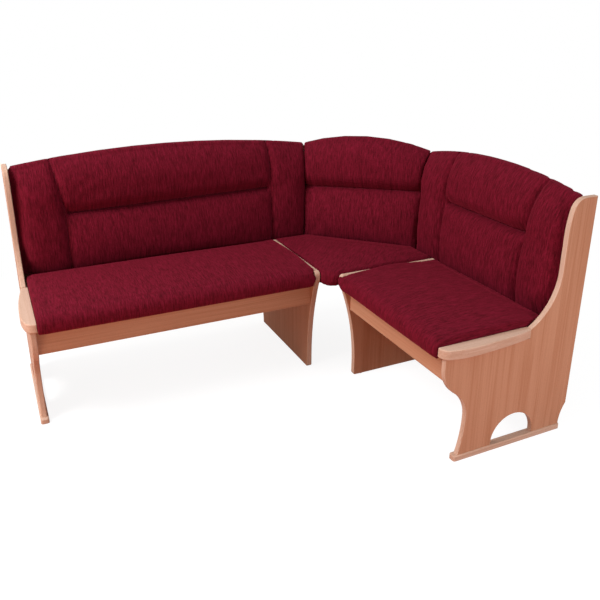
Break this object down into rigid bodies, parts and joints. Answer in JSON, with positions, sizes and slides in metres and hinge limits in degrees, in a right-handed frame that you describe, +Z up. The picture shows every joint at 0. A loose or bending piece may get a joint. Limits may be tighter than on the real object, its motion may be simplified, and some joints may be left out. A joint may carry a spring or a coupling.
{
  "type": "corner bench",
  "caption": "L-shaped upholstered corner bench: beech end panels with half-moon feet and arm blocks, wine-red seat and back cushions, and a corner seat hung between a long and a short bench.",
  "frame": {"origin": "middle of the footprint's box, at floor level under the glides", "axes": "+X along the long bench towards the room corner, +Y towards the long bench's wall, +Z up"},
  "size_m": [1.698, 1.291, 0.89],
  "materials": {
    "beech_veneer": "satin lacquer",
    "solid_beech": "satin lacquer",
    "seat_fabric": "woven",
    "back_fabric": "woven",
    "particle_board": "sanded",
    "spruce": "planed",
    "lining_cloth": "non-woven",
    "dowel_beech": "turned",
    "zinc_steel": "zinc plated",
    "cam_zinc": "die cast",
    "glide_plastic": "moulded"
  },
  "bodies": {
    "root": {"long_end_panel": "beech_veneer", "short_end_panel": "beech_veneer", "long_corner_panel": "beech_veneer", "short_corner_panel": "beech_veneer", "long_front_apron": "beech_veneer", "short_front_apron": "beech_veneer", "long_arm_block": "solid_beech", "short_arm_block": "solid_beech", "long_foot_rail": "solid_beech", "short_foot_rail": "solid_beech", "long_seat_cushion": "seat_fabric", "short_seat_cushion": "seat_fabric", "corner_seat_cushion": "seat_fabric", "long_back_cushion": "back_fabric", "short_back_cushion": "back_fabric", "corner_back_cushion": "back_fabric", "long_seat_board": "particle_board", "short_seat_board": "particle_board", "corner_seat_board": "particle_board", "long_back_board": "particle_board", "short_back_board": "particle_board", "corner_back_board": "particle_board", "long_rear_rail": "spruce", "short_rear_rail": "spruce", "corner_rear_rail": "spruce", "long_seat_cleats": "spruce", "short_seat_cleats": "spruce", "corner_seat_cleats": "spruce", "long_back_lining": "lining_cloth", "short_back_lining": "lining_cloth", "corner_back_lining": "lining_cloth", "rail_dowels": "dowel_beech", "arm_dowels": "dowel_beech", "cam_bolts": "zinc_steel", "foot_rail_screws": "zinc_steel", "cleat_screws": "zinc_steel", "seat_screws": "zinc_steel", "back_screws": "zinc_steel", "back_end_brackets": "zinc_steel", "back_bracket_screws": "zinc_steel", "corner_straps": "zinc_steel", "corner_strap_screws": "zinc_steel", "cam_discs": "cam_zinc", "floor_glides": "glide_plastic"}
  },
  "joints": []
}
